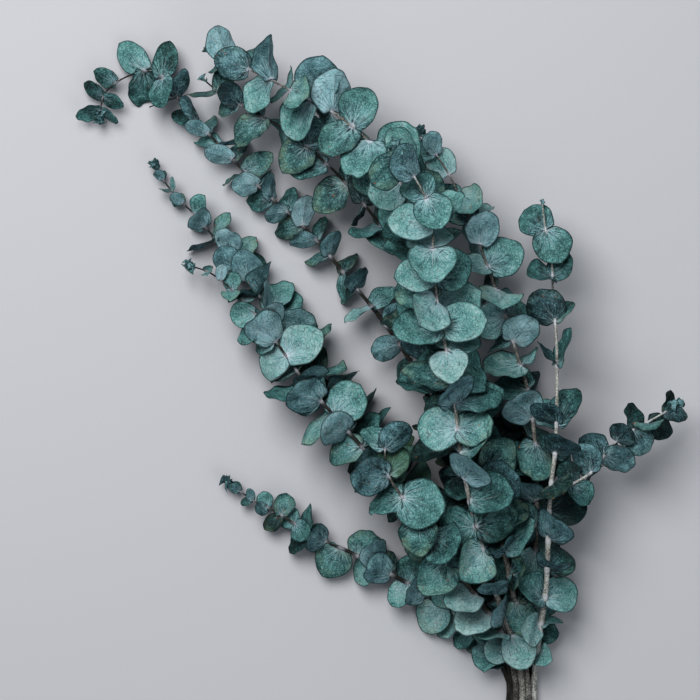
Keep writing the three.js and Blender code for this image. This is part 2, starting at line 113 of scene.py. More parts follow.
FAN_ROOT = 0.03  # how far behind the root they start
FAN_REACH = (0.1, 0.4)  # from the leaf's middle, where they grow to their height
RIM_REACH = (0.55, 1)  # where the leaf gets thinner, from its middle to its edge
SEAT_REACH = (0.02, 0.34)  # along the leaf, where its lift over the wood fades

# The crumpled leaves round a tip, in millimetres at full size
TIP_LEAVES = 13
FEW_TIP_LEAVES = 4
FEW_TIP_SIZE = 0.56  # share of the full size up to which a tip has only few
TIP_BACK = (-3.5, 3)  # where they grow along the stem, from its end
TIP_LENGTH = (4, 7.5)
TIP_ZONE = 6  # length along which they close
TIP_SPREAD = (75, 25)
TIP_SPREAD_DRAW = (-12, 12)
TIP_ROUND_DRAW = (-20, 20)
TIP_FORM = {"width": (0.4, 0.52), "cup": (0.5, 1.2), "arch": (-0.9, 0.6), "wave": (-0.7, 0.7),
            "phase": (0, 6)}
TIP_TONE_DRAW = (-0.3, 0.15)
TIP_HUE_DRAW = (0.2, 0.9)
GOLDEN_TURN = 137.5  # degrees from one to the next
FULL_TIP = 5  # "bud" of a tip at full size
OPEN_TIP = 0.55  # share of it that a leafy tip has

# The fine wood, in millimetres and shares
SOLID_RADIUS = 0.56  # radius that leaves are lifted by, as a share of the solid's thickness
WOOD_RADIUS = 0.61  # radius of the round wood, as a share of the solid's thickness
WOOD_SIDES = 12
WOOD_STEP = 2.2  # length between two rings
SWELLING = 0.28  # how much thicker the wood is at a pair of leaves
SWELLING_LENGTH = 1.6
DUST_LENGTH = 1.7  # length of the pale dust at a pair of leaves
TIP_WOOD = 0.6  # length of the wood past its end, for each unit of "bud"
TIP_TAPER = 0.75  # how much thinner the wood gets past its end
BARK_WAVES = [(0.05, 2, 0.11), (0.03, 5, 0.31)]  # height, number round the wood, turn in a mm
BARK_PATTERN = 0.02  # how far the bark's pattern moves on in a millimetre of stem

# How light a leaf is, from dye and painted shade: 0 deepest, 1 palest. Places are in mm from the
# grip.
MIDDLE_TONE = 0.5
TONE_DRAW = 0.13
HUE_DRAW = (0.1, 0.9)
DEPTH_PAINTED_SHADE = -0.55  # painted shade of a leaf that lies deep in the bunch, under other leaves
DEEP_AWAY = 20  # how far sideways the leaves over it are counted
DEEP_UNDER = 3  # and from which height over it
DEEP_COUNT = 9  # number of them under which it is quite dark
GRIP_TONE = 0.22  # of the leaves near the grip
GRIP_REACH = (60, 95)
LOW_PAINTED_SHADE = -0.17  # painted shade of the leaves inside the bunch between the grip and the middle
LOW_SHADE_REACH = (190, 240)
FAR_TONE = -0.28  # of the leaves at the far left tip
FAR_REACH = (205, 240)
OLIVE_REACH = 9

# Every stem as the frame has it. row and place: where it is at the grip, counted upwards and
# sideways. end: y of its cut end. thin: thickness at the tip. route: points of its centre line.
# bud: size of the crumpled leaves at its tip. twigs: side shoots, each with route, leaf and bud.
# bark: how dark its bark is, from pale grey to almost black. dye: how far its leaves are from
# the middle tone, below 0 deeper. cover: how far the roots of its leaves are lifted over its
# wood, in radii of the wood: above 0 they hide it, and below 0 they are behind it.
# leaf: how its leaves were drawn, lengths in millimetres.
#   start: where the first pair is, from the grip. stop: length without drawn pairs at the tip.
#   step: lengths between pairs, at the start and at the tip.
#   size: lengths of leaves at the start, along the stem and at the tip.
#   hold: share of the stem from which leaves are younger.
#   first: direction of the first leaf round the stem, in degrees.
#   over: share of the leaves above the wood that are folded back over it.
#   facing: the least share by which leaves turn their faces up, 1 being all the way.
#   wide: share of the usual width.
#   crown: pairs near the tip chosen one by one, each as its distance from the tip and two leaves,
#     each as direction round the stem, spread, length and facing.
#   seed: seed of the draws.
STEMS = [
    {
        "name": "front_column", "row": 2, "place": 0, "end": -57, "thin": 0.8,
        "route": [[-6, 34, 22], [-16, 62, 36], [-28, 97, 54], [-38, 134, 70], [-45, 170, 83],
            [-50, 213, 92], [-58, 250, 96], [-62, 283, 98], [-64, 319, 100], [-75, 342, 106],
            [-84, 356, 112]],
        "leaf": {
            "start": 22, "step": [18, 16], "size": [24, 29, 25], "hold": 0.8, "first": 0,
            "over": 0.9, "facing": 0.5, "seed": 1101,
        },
        "bud": 5, "bark": 0.35, "dye": 0.14, "cover": 1.3,
    },
    {
        "name": "right_stem", "row": 1, "place": 2, "end": -50, "thin": 0.8,
        "route": [[10, 38, 24], [14, 72, 36], [15, 106, 45], [16, 138, 51], [19, 166, 54],
            [20, 198, 54], [20, 234, 52], [18, 264, 50], [17, 289, 48], [13, 311, 47],
            [11, 327, 46]],
        "leaf": {
            "start": 30, "step": [20, 19], "size": [21, 25, 26], "hold": 0.7, "first": -10,
            "over": 0.15, "facing": 0.3, "stop": 128,
            "crown": [
                [107, [180, 42, 20, 0], [0, 26, 26, 0.5]],
                [78, [150, 38, 25, 0.7], [-10, 45, 18, 0]],
                [48, [150, 75, 20, 0.25], [-20, 40, 18, 0.5]],
                [17, [60, 154, 26, 0.95], [178, 44, 23, 0.95]],
            ],
            "seed": 2203,
        },
        "bud": 2, "bark": 0.15, "dye": -0.12, "cover": -0.6,
        "twigs": [
            {
                "route": [[16, 138, 51], [32, 144, 50], [45, 152, 47], [53, 163, 44], [64, 174, 41],
                    [79, 182, 38], [98, 193, 35]],
                "leaf": {
                    "start": 15, "step": [15, 11], "size": [17, 20, 15], "hold": 0.7, "first": 10,
                    "over": 0.3, "facing": 0.35, "seed": 2309,
                },
                "bud": 5,
            },
        ],
    },
    {
        "name": "upper_arch", "row": 2, "place": 1, "end": -44, "thin": 0.75,
        "route": [[-2, 37, 20], [-8, 72, 36], [-19, 119, 52], [-33, 172, 64], [-51, 225, 70],
            [-62, 270, 70], [-71, 311, 68], [-85, 344, 64], [-104, 368, 60], [-126, 386, 56],
            [-148, 398, 52], [-171, 410, 48], [-191, 420, 44], [-209, 428, 42]],
        "leaf": {
            "start": 44, "step": [20, 15], "size": [25, 29, 26], "hold": 0.85, "first": 20,
            "over": 0.5, "facing": 0.5, "seed": 3301,
        },
        "bud": 5, "bark": 0.5, "dye": 0.08, "cover": 1,
    },
    {
        "name": "right_column", "row": 1, "place": 0.5, "end": -55, "thin": 0.75,
        "route": [[3, 37, 12], [6, 71, 20], [8, 118, 32], [7, 162, 40], [3, 198, 44], [-5, 226, 46],
            [-12, 249, 46], [-20, 272, 45], [-29, 297, 44], [-39, 323, 42], [-52, 350, 40],
            [-67, 372, 38]],
        "leaf": {
            "start": 38, "step": [19, 16], "size": [22, 27, 19], "hold": 0.75, "first": -30,
            "over": 0.5, "facing": 0.45, "seed": 4409,
        },
        "bud": 5, "bark": 0.45, "dye": 0.22, "cover": 1,
    },
    {
        "name": "middle_arch", "row": 1, "place": -0.5, "end": -48, "thin": 0.75,
        "route": [[-6, 37, 13], [-17, 71, 24], [-34, 119, 38], [-50, 172, 46], [-64, 231, 48],
            [-77, 285, 46], [-96, 314, 43], [-120, 343, 40], [-141, 363, 38], [-162, 379, 36],
            [-182, 390, 34], [-199, 399, 32], [-212, 410, 31]],
        "leaf": {
            "start": 52, "step": [21, 17], "size": [23, 26, 22], "hold": 0.85, "first": 0,
            "over": 0.2, "facing": 0.15, "wide": 0.9, "seed": 5501,
        },
        "bud": 5, "bark": 1.05, "dye": -0.06, "cover": 0,
    },
    {
        "name": "low_branch", "row": 2, "place": -1, "end": -40, "thin": 0.9,
        "route": [[-11, 34, 20], [-26, 60, 34], [-47, 88, 48], [-64, 113, 56], [-80, 133, 58],
            [-91, 151, 58], [-93, 172, 56]],
        "leaf": {
            "start": 26, "step": [17, 17], "size": [24, 29, 24], "hold": 0.8, "first": 45,
            "over": 0.6, "facing": 0.4, "seed": 6607,
        },
        "bud": 4, "bark": 0.6, "dye": 0.07, "cover": 1,
    },
    {
        "name": "left_inner", "row": 1, "place": -1.5, "end": -54, "thin": 0.7,
        "route": [[-14, 37, 15], [-28, 62, 25], [-51, 92, 33], [-73, 122, 39], [-94, 152, 41],
            [-113, 173, 40], [-129, 191, 38], [-143, 207, 36], [-157, 226, 33], [-170, 244, 30],
            [-182, 259, 27], [-194, 271, 24], [-208, 282, 21], [-221, 287, 18]],
        "leaf": {
            "start": 36, "step": [18, 10], "size": [22, 27, 9], "hold": 0.72, "first": 15,
            "over": 0.55, "facing": 0.45, "seed": 7703,
        },
        "bud": 4, "bark": 0.9, "dye": 0.2, "cover": 0.5,
    },
    {
        "name": "far_arch", "row": 0, "place": 0, "end": -52, "thin": 0.7,
        "route": [[-7, 36, 8], [-17, 70, 14], [-33, 118, 20], [-49, 164, 22], [-69, 212, 20],
            [-91, 247, 17], [-116, 278, 16], [-144, 311, 15], [-174, 338, 15], [-199, 364, 15],
            [-219, 385, 14], [-232, 401, 14], [-241, 413, 14], [-252, 418, 14], [-263, 415, 13],
            [-274, 409, 12], [-281, 401, 11], [-283, 389, 10]],
        "leaf": {
            "start": 66, "step": [20, 11], "size": [19, 21, 20], "hold": 0.82, "first": -40,
            "over": 0.2, "facing": 0, "wide": 0.72, "seed": 8807, "stop": 88,
            "crown": [
                [75, [0, 60, 20, 0.85], [180, 80, 19, 0]],
                [59, [0, 62, 25, 0.9], [180, 118, 26, 0.9]],
                [46, [0, 32, 26, 0.85], [180, 78, 26, 0.95]],
                [25, [0, 55, 17, 0.4], [180, 60, 17, 0.6]],
                [12, [0, 98, 16, 0.6], [180, 86, 15, 0.6]],
                [3, [0, 75, 17, 0.8], [180, 60, 14, 0.7]],
            ],
        },
        "bud": 4, "bark": 0.9, "dye": 0.04, "cover": 0,
    },
    {
        "name": "left_outer", "row": 0, "place": -1, "end": -47, "thin": 0.7,
        "route": [[-12, 36, 6], [-27, 63, 11], [-45, 94, 14], [-69, 127, 16], [-92, 159, 16],
            [-111, 183, 15], [-128, 204, 15], [-144, 228, 15], [-160, 248, 15], [-174, 264, 14],
            [-186, 281, 14], [-196, 295, 14], [-207, 307, 13], [-219, 321, 12], [-231, 333, 11],
            [-240, 344, 10], [-245, 353, 9]],
        "leaf": {
            "start": 46, "step": [18, 10], "size": [21, 24, 8], "hold": 0.78, "first": 10,
            "over": 0.1, "facing": -0.2, "seed": 9901,
        },
        "bud": 4, "bark": 0.95, "dye": 0.18, "cover": 0.5,
    },
    {
        "name": "low_left", "row": 0, "place": -2, "end": -42, "thin": 0.8,
        "route": [[-19, 29, 5], [-35, 47, 9], [-55, 61, 12], [-75, 74, 15], [-94, 84, 15],
            [-114, 95, 14], [-132, 103, 13], [-150, 113, 12], [-166, 123, 11], [-179, 129, 10],
            [-189, 136, 9], [-197, 142, 8]],
        "leaf": {
            "start": 17, "step": [15, 10], "size": [21, 21, 8], "hold": 0.62, "first": 10,
            "over": 0.3, "facing": 0.35, "seed": 1013,
        },
        "bud": 4, "bark": 0.85, "dye": 0.12, "cover": 0.5,
    },
    {
        "name": "back_right", "row": 0, "place": 2, "end": -56, "thin": 0.9,
        "route": [[7, 36, 6], [8, 70, 11], [7, 111, 15], [4, 151, 17], [0, 184, 17], [-6, 214, 16]],
        "leaf": {
            "start": 36, "step": [21, 19], "size": [20, 24, 20], "hold": 0.8, "first": 25,
            "over": 0.4, "facing": 0.4, "seed": 1103,
        },
        "bud": 4, "bark": 0.8, "dye": -0.35, "cover": 0.5,
    },
    {
        "name": "back_column", "row": 0, "place": 1, "end": -38, "thin": 0.9,
        "route": [[1, 36, 4], [-3, 70, 10], [-10, 111, 16], [-15, 144, 17], [-21, 178, 17],
            [-27, 208, 16]],
        "leaf": {
            "start": 48, "step": [21, 19], "size": [22, 26, 20], "hold": 0.8, "first": -20,
            "over": 0.4, "facing": 0.4, "seed": 1201,
        },
        "bud": 4, "bark": 0.9, "dye": -0.4, "cover": 0.5,
    },
]

# Stems whose tips end in grown leaves, with few crumpled ones
LEAFY_TIPS = ("upper_arch", "middle_arch")

# Where the few leaves that took no dye lie, in mm from the grip
OLIVE = [(-79, 161), (-75, 146)]

# Colours of the leaves. A ramp goes from the deepest dye to the palest.
DYED = [
    (0.0, (0.003, 0.014, 0.014)), (0.3, (0.029, 0.094, 0.093)),
    (0.62, (0.104, 0.262, 0.256)), (1.0, (0.262, 0.390, 0.392)),
]
GREYED = [
    (0.0, (0.010, 0.024, 0.030)), (0.3, (0.064, 0.140, 0.166)),
    (0.62, (0.172, 0.310, 0.355)), (1.0, (0.300, 0.460, 0.520)),
]
UNDYED = (0.080, 0.140, 0.060)
FADED = (0.150, 0.190, 0.110)
LEAF_DUST = (0.235, 0.400, 0.390)
NET = (0.010, 0.034, 0.036)
VEIN = (0.310, 0.400, 0.420)
ROOT = (0.540, 0.580, 0.650)
RIM = (0.006, 0.022, 0.023)
RUST = (0.330, 0.110, 0.030)

# Colours of the wood
BARK_RAMP = [
    (0.0, (0.008, 0.006, 0.005)), (0.35, (0.042, 0.034, 0.030)),
    (0.65, (0.200, 0.190, 0.175)), (1.0, (0.480, 0.490, 0.470)),
]
BARK_DYE = (0.050, 0.110, 0.105)
JOINT_DUST = (0.480, 0.510, 0.560)
CUT_DARK = (0.420, 0.330, 0.210)
CUT_PALE = (0.560, 0.470, 0.330)

# Floor, light and camera, in metres and watts
FLOOR_SIDE = 8
FLOOR_DARK = (0.392, 0.401, 0.428)
FLOOR_PALE = (0.402, 0.411, 0.438)
SKY = (0.93, 0.96, 1.0, 1)
SKY_STRENGTH = 0.26
LIGHTS = [
    {"name": "key", "place": (-0.48, 0.8, 1.5), "target": (-0.05, 0.05, 0), "width": 1.3,
     "power": 34, "colour": (1.0, 0.985, 0.965)},
    {"name": "fill", "place": (0.8, -1.0, 1.3), "target": (0, 0, 0), "width": 1.4,
     "power": 5.5, "colour": (0.94, 0.97, 1.0)},
]
CAMERA_HEIGHT = 1.84
CAMERA_OVER = (-115.5, 231)  # mm from the grip
LENS = 140.26  # mm, with which the picture is 462 mm wide 40 mm above the floor
SENSOR = 36  # mm


def unit(a):
    return a / np.linalg.norm(a)


def mix(a, b, t):
    return a + (b - a) * t


def smooth(a, b, x):
    """0 up to a, 1 from b on and soft between them, for a number or an array."""
    t = np.clip((x - a) / (b - a), 0, 1)
    return t * t * (3 - 2 * t)


def to_sky(along):
    """The direction square to along that points up most."""
    return unit(np.array([0, 0, 1.0]) - along * along[2])


def wave_start(rng):
    return rng.uniform(0, 6)


def draws(seed):
    """Repeatable draws between 0 and 1, the ones that the solid leaves were drawn with."""
    state = seed
    while True:
        state = state * 16807 % 2147483647
        yield state / 2147483647


def traced(lead, points, before=None):
    """A smooth line through the points of a route, with the length up to each of its points."""
    points = [np.array(p, float) for p in points]
    ahead = 2 * points[0] - points[1] if before is None else np.array(before, float)
    past = 2 * points[-1] - points[-2]
    route = [ahead, *points, past]
    line = [np.array(p, float) for p in lead]
    for p0, p1, p2, p3 in zip(route, route[1:], route[2:], route[3:]):
        for j in range(TRACE_STEPS):
            t = j / TRACE_STEPS
            line.append(0.5 * (2 * p1 + (p2 - p0) * t + (2 * p0 - 5 * p1 + 4 * p2 - p3) * t * t
                               + (3 * p1 - p0 - 3 * p2 + p3) * t * t * t))
    line.append(points[-1])
    steps = [np.linalg.norm(b - a) for a, b in zip(line, line[1:])]
    return {"line": line, "length": [0.0, *np.cumsum(steps)], "total": float(sum(steps))}


def point_at(trace, s):
    line, length = trace["line"], trace["length"]
    i = 1
    while i < len(line) - 1 and length[i] < s:
        i += 1
    t = (s - length[i - 1]) / (length[i] - length[i - 1])
    return line[i - 1] + (line[i] - line[i - 1]) * t


def place_at(trace, s):
    """A place on a centre line with its direction, the direction to the sky and the one across."""
    ahead = point_at(trace, min(s + LOOK, trace["total"]))
    along = unit(ahead - point_at(trace, max(s - LOOK, 0)))
    up = to_sky(along)
    return {"origin": point_at(trace, s), "along": along, "up": up, "across": np.cross(along, up)}


def make_shoots(stem):
    """Centre lines of a stem and its twigs. taper: thickness at both ends and where it starts."""
    x = stem["place"] * GRIP_PITCH
    z = GRIP_SIDE / 2 + stem["row"] * GRIP_PITCH
    lead = [[x * FAN, stem["end"], z], [x, GRIP_START, z]]
    route = [[x, GRIP_END, z], *stem["route"]]
    shoots = [{
        "trace": traced(lead, route, [x, GRIP_LEAD, z]),
        "straight": LEAF_ZERO - stem["end"],
        "taper": (GRIP_SIDE, stem["thin"], TAPER_START),
        "leaf": stem["leaf"],
        "bud": stem["bud"],
    }]
    for twig in stem.get("twigs", []):
        shoots.append({
            "trace": traced([], twig["route"]),
            "straight": 0,
            "taper": (*TWIG_SIDES, 0),
            "leaf": twig["leaf"],
            "bud": twig["bud"],
        })
    return shoots


def side_at(shoot, s):
    """Thickness of a shoot's solid wood at a length along it."""
    thick, thin, start = shoot["taper"]
    return mix(thick, thin, max(0, (s - start) / (shoot["trace"]["total"] - start)))


def drawn_leaf(leaf, t, young, turn, q):
    """The direction and form of a leaf from its ten draws, t along the stem."""
    turn += (q[1] - 0.5) * LEAF_TWIST
    above = math.sin(turn * DEGREE) > ABOVE
    spread = (mix(*SPREAD, young) + (q[2] - 0.5) * SPREAD_DRAW) * (SPREAD_ABOVE if above else 1)
    if above and q[9] < leaf["over"]:
        spread = mix(*SPREAD_OVER, q[2])
    first, middle, last = leaf["size"]
    length = mix(first, middle, smooth(0, 0.3, t)) + (last - middle) * young
    length *= LENGTH_DRAW[0] + LENGTH_DRAW[1] * q[0]
    width = mix(*WIDTH, young) * (WIDTH_DRAW[0] + WIDTH_DRAW[1] * q[4]) * leaf.get("wide", 1)
    return {
        "round": turn,
        "spread": spread,
        "size": length,
        "facing": leaf["facing"] + (1 - leaf["facing"]) * FACING_DRAW * q[3],
        "width": width,
        "egg": mix(*EGG, young),
        "cup": mix(*CUP, q[5]),
        "arch": mix(*ARCH, q[6]),
        "wave": mix(*WAVE, q[7]),
        "phase": PHASE * q[8],
    }


def plan_leaves(shoot):
    """Every leaf that the solid shoot was planned with, pair by pair."""
    trace, leaf = shoot["trace"], shoot["leaf"]
    start = shoot["straight"] + leaf["start"]
    last = trace["total"] - leaf.get("stop", BARE_TIP)
    pairs = []
    s = start
    while s < last:
        pairs.append((s, []))
        s += mix(*leaf["step"], (s - start) / (last - start))
    pairs += [(trace["total"] - back, chosen) for back, *chosen in leaf.get("crown", [])]
    draw = draws(leaf["seed"])
    plans = []
    for pair, (s, chosen) in enumerate(pairs):
        t = min(1, (s - start) / (last - start))
        young = 0 if chosen else smooth(leaf["hold"], 1, t)
        twist = leaf["first"] + (next(draw) - 0.5) * PAIR_TWIST
        if chosen:
            twist = chosen[0][0] - pair % 4 * 90
        root = place_at(trace, s)
        for half in range(2):
            q = [next(draw) for _ in range(10)]
            plan = drawn_leaf(leaf, t, young, twist + (pair + half * 2) % 4 * 90, q)
            if half < len(chosen):
                plan.update(zip(("round", "spread", "size", "facing"), chosen[half]))
            plan.update(root=root, s=s, radius=side_at(shoot, s) * SOLID_RADIUS)
            plan["small"] = plan["size"] < SMALL_LEAF
            plans.append(plan)
    return plans


def leaf_pose(plan, size=1, spread=0, turn=0, roll=0):
    """Where a leaf sits, after one of the changes that its solid was tried with."""
    root = plan["root"]
    turn = (plan["round"] + turn) * DEGREE
    spread = max(LEAST_SPREAD, plan["spread"] + spread) * DEGREE
    size = plan["size"] * size
    out = root["across"] * math.cos(turn) + root["up"] * math.sin(turn)
    along = root["along"] * math.cos(spread) + out * math.sin(spread)
    lowest = -(root["origin"][2] - TIP_ROOM) / (TIP_REACH * size)
    if along[2] < lowest:
        k = math.sqrt(1 - lowest * lowest) / math.hypot(along[0], along[1])
        along = np.array([along[0] * k, along[1] * k, lowest])
    plain = unit(np.cross(along, np.cross(root["along"], out)))
    sky = to_sky(along)
    side = -1 if np.dot(plain, sky) < FACE_DOWN else 1
    normal = unit(plain * (1 - plan["facing"]) + sky * (side * plan["facing"]))
    normal = unit(normal * math.cos(roll * DEGREE)
                  + np.cross(along, normal) * math.sin(roll * DEGREE))
    return {"plan": plan, "origin": root["origin"], "along": along, "normal": normal,
            "across": np.cross(normal, along), "size": size}


def blade_points(pose, u, v, lift=0):
    """Points of the blade, u along it and v across it, both as shares of its length."""
    plan, size = pose["plan"], pose["size"]
    rise = 4 * plan["cup"] * v * v + plan["arch"] * u * u
    rise = rise + 2 * plan["wave"] * v * np.sin(5 * u + plan["phase"]) + lift
    flat = np.multiply.outer(u * size, pose["along"]) + np.multiply.outer(v * size, pose["across"])
    return pose["origin"] + flat + np.multiply.outer(rise * size, pose["normal"])


def solid_corners(pose):
    """The corners of the solid leaf's upper face, or None if it would reach below the surface."""
    plan = pose["plan"]
    angles = np.array(SMALL_CORNERS if plan["small"] else BROAD_CORNERS) * DEGREE
    u = 0.5 + 0.5 * np.cos(angles)
    v = plan["width"] * np.sin(angles) * (1 - plan["egg"] * np.cos(angles))
    u = np.concatenate([[0.5], u, u, [TIP_PLACE]])
    v = np.concatenate([[0], v, -v, [0]])
    upper = blade_points(pose, u, v)
    lower = upper - pose["normal"] * BLADE
    dip = min(upper[:, 2].min(), lower[:, 2].min())
    if dip < -TOUCH:
        return None
    if dip < 0:
        upper[:, 2] = np.maximum(upper[:, 2], np.where(upper[:, 2] > lower[:, 2], BLADE, 0))
    return upper


def find_leaf(plan, corners):
    """The pose with which this leaf is in the frame, or None if it was left out."""
    for change in product(TRY_SIZE, TRY_SPREAD, TRY_ROUND, TRY_ROLL):
        pose = leaf_pose(plan, *change)
        upper = solid_corners(pose)
        if upper is None or corners.find(upper[-1])[2] > SAME_PLACE:
            continue
        if sum(corners.find(point)[2] < SAME_PLACE for point in upper) >= SAME_CORNERS:
            return pose
    return None


def node_corners(node, shift):
    """The corners of a solid node in millimetres, back where they were drawn."""
    vertices = node.data.vertices
    tree = KDTree(len(vertices))
    for vertex in vertices:
        tree.insert(Vector(vertex.co) / MM - shift, vertex.index)
    tree.balance()
    return tree


def drawn_shift(node, cut_end):
    """How far the bunch was moved after it was drawn, read from a cut end drawn at x = 0."""
    corners = [Vector(vertex.co) / MM for vertex in node.data.vertices]
    lowest = min(corner.y for corner in corners)
    end = [corner.x for corner in corners if corner.y < lowest + SAME_END]
    return Vector(((min(end) + max(end)) / 2, lowest - cut_end, 0))


def leaf_faces(rings, steps):
    """Faces of a leaf made of a middle point and rings on each face, joined round the edge."""
    count = 1 + (rings - 1) * steps

    def at(face, ring, k):
        if ring == 0:
            return face * count
        return face * count + 1 + (ring - 1) * steps + k % steps

    edge = rings - 1
    faces = []
    for k in range(steps):
        faces.append((at(0, 0, 0), at(0, 1, k), at(0, 1, k + 1)))
        faces.append((at(1, 0, 0), at(1, 1, k + 1), at(1, 1, k)))
        for ring in range(1, edge):
            out = ring + 1
            faces.append((at(0, ring, k), at(0, out, k), at(0, out, k + 1), at(0, ring, k + 1)))
            faces.append((at(1, ring, k), at(1, ring, k + 1), at(1, out, k + 1), at(1, out, k)))
        faces.append((at(0, edge, k), at(1, edge, k), at(1, edge, k + 1), at(0, edge, k + 1)))
    return faces


BROAD_FACES = leaf_faces(len(BROAD_RINGS), BROAD_STEPS)
SMALL_FACES = leaf_faces(len(SMALL_RINGS), SMALL_STEPS)


class Piece:
    """Collects points and faces, with what the finishes read at a point, and makes one object.

    place: three numbers, where the point is on its leaf or on its wood. kind: four numbers.
    """

    def __init__(self, name):
        self.name = name
        self.points = []
        self.faces = []
        self.place = []
        self.kind = []
        self.count = 0

    def add(self, points, faces, place, kind):
        self.points.append(points)
        self.place.append(place)
        self.kind.append(kind)
        self.faces.extend(tuple(i + self.count for i in face) for face in faces)
        self.count += len(points)

    def finish(self, shift, material, slot, node):
        points = (np.concatenate(self.points) + np.array(shift)) * MM
        mesh = bpy.data.meshes.new(self.name)
        mesh.from_pydata(points.tolist(), [], self.faces)
        for name, sort, field, rows in (
            ("place", "FLOAT_VECTOR", "vector", self.place),
            ("kind", "FLOAT_COLOR", "color", self.kind),
        ):
            values = np.concatenate(rows).astype(np.float32).ravel()
            mesh.attributes.new(name, sort, "POINT").data.foreach_set(field, values)
        mesh.shade_smooth()
        mesh.materials.append(material)
        made = bpy.data.objects.new(self.name, mesh)
        bpy.context.scene.collection.objects.link(made)
        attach(made, "root")
        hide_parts(node)


def leaf_outline(plan, angle, rho, rng):
    """Points of a leaf, along and across it: uneven, pointed at the tip, lobed at the root."""
    uneven = (1 + UNEVEN[0] * np.sin(3 * angle + wave_start(rng))
              + UNEVEN[1] * np.sin(7 * angle + wave_start(rng)))
    off_tip = np.minimum(angle, 2 * math.pi - angle) / DEGREE
    tip = TIP_POINT * np.exp(-(off_tip / TIP_POINT_WIDTH) ** 2)
    lobes = LOBE * np.exp(-((off_tip - LOBE_TURN) / LOBE_WIDTH) ** 2) * plan.get("lobes", 1)
    u = 0.5 + rho * (0.5 * np.cos(angle) * uneven + tip - lobes)
    v = rho * plan["width"] * np.sin(angle) * (1 - plan["egg"] * np.cos(angle)) * uneven
    return u, v


def leaf_relief(angle, rho, u, v, rng):
    """How far a leaf's points are from its plain form: ruffled edge, midrib, dents and folds."""
    ruffle = rng.uniform(*RUFFLE)
    ruffle = ruffle * np.sin(rng.choice(RUFFLES) * angle + wave_start(rng)) * rho ** 4
    curl = rng.uniform(*CURL) * rho ** 4
    crease = CREASE * (1 - np.exp(-(v / CREASE_WIDTH) ** 2)) * (1 - CREASE_FADE * rho)
    dent = rng.uniform(*DENT)
    for waves, way in zip(DENT_WAVES, (u, v)):
        dent = dent * np.sin(waves * way + wave_start(rng))
    fold = rng.choice(FOLDS) * np.abs(v) * smooth(*FOLD_REACH, u)
    fan = np.sin(FAN_FOLDS * np.arctan2(v, u + FAN_ROOT) + wave_start(rng))
    fan = FAN_FOLD * fan * smooth(*FAN_REACH, rho)
    return ruffle + curl + crease + dent + fold + fan


def add_leaf(piece, pose, tone, hue, cover, rng):
    """A fine leaf: cupped and waved as its solid, with a ruffled thin edge and a creased midrib."""
    plan = pose["plan"]
    small = plan["small"]
    rings = np.array(SMALL_RINGS if small else BROAD_RINGS)
    steps = SMALL_STEPS if small else BROAD_STEPS
    around = np.arange(steps) * 2 * math.pi / steps
    rho = np.concatenate([[0], np.repeat(rings[1:], steps)])
    angle = np.concatenate([[0], np.tile(around, len(rings) - 1)])
    u, v = leaf_outline(plan, angle, rho, rng)
    relief = leaf_relief(angle, rho, u, v, rng)
    face_up = pose["normal"][2] > 0
    near_root = 1 - smooth(*SEAT_REACH, u)
    seat = cover * (1 if face_up else -1) * plan.get("radius", 0) / pose["size"] * near_root
    middle = blade_points(pose, u, v, relief + seat) - pose["normal"] * BLADE / 2
    thick = mix(LEAF_THICK, RIM_THICK, smooth(*RIM_REACH, rho))[:, None]
    upper = middle + pose["normal"] * thick / 2
    lower = middle - pose["normal"] * thick / 2
    low, high = (lower, upper) if face_up else (upper, lower)
    low[:, 2] = np.maximum(low[:, 2], OFF_FLOOR)
    high[:, 2] = np.maximum(high[:, 2], OFF_FLOOR + thick[:, 0])
    place = np.stack([u, v, rho], 1)
    # Only the last of three draws is used. The others keep the later leaves as they are.
    own = rng.random(3)[2]
    kinds = [np.tile([tone, hue, face, own], (len(u), 1)) for face in (1, 0)]
    piece.add(np.concatenate([upper, lower]), SMALL_FACES if small else BROAD_FACES,
              np.concatenate([place, place]), np.concatenate(kinds))


def add_crumpled_tip(piece, shoot, grown, tone, rng):
    """The crumpled young leaves round the tip of a shoot, folded over one another."""
    end = place_at(shoot["trace"], shoot["trace"]["total"])
    for k in range(TIP_LEAVES if grown > FEW_TIP_SIZE else FEW_TIP_LEAVES):
        back = rng.uniform(*TIP_BACK) * grown
        spread = mix(*TIP_SPREAD, (back / grown - TIP_BACK[0]) / TIP_ZONE)
        plan = {
            "root": {**end, "origin": end["origin"] + end["along"] * back},
            "round": k * GOLDEN_TURN + rng.uniform(*TIP_ROUND_DRAW),
            "spread": spread + rng.uniform(*TIP_SPREAD_DRAW),
            "size": rng.uniform(*TIP_LENGTH) * grown,
            "small": True, "facing": 0.1, "lobes": 0, "egg": 0.1,
        }
        plan.update({name: rng.uniform(*ends) for name, ends in TIP_FORM.items()})
        own_tone = tone + rng.uniform(*TIP_TONE_DRAW)
        hue = rng.uniform(*TIP_HUE_DRAW)
        add_leaf(piece, leaf_pose(plan), own_tone, hue, 0, rng)


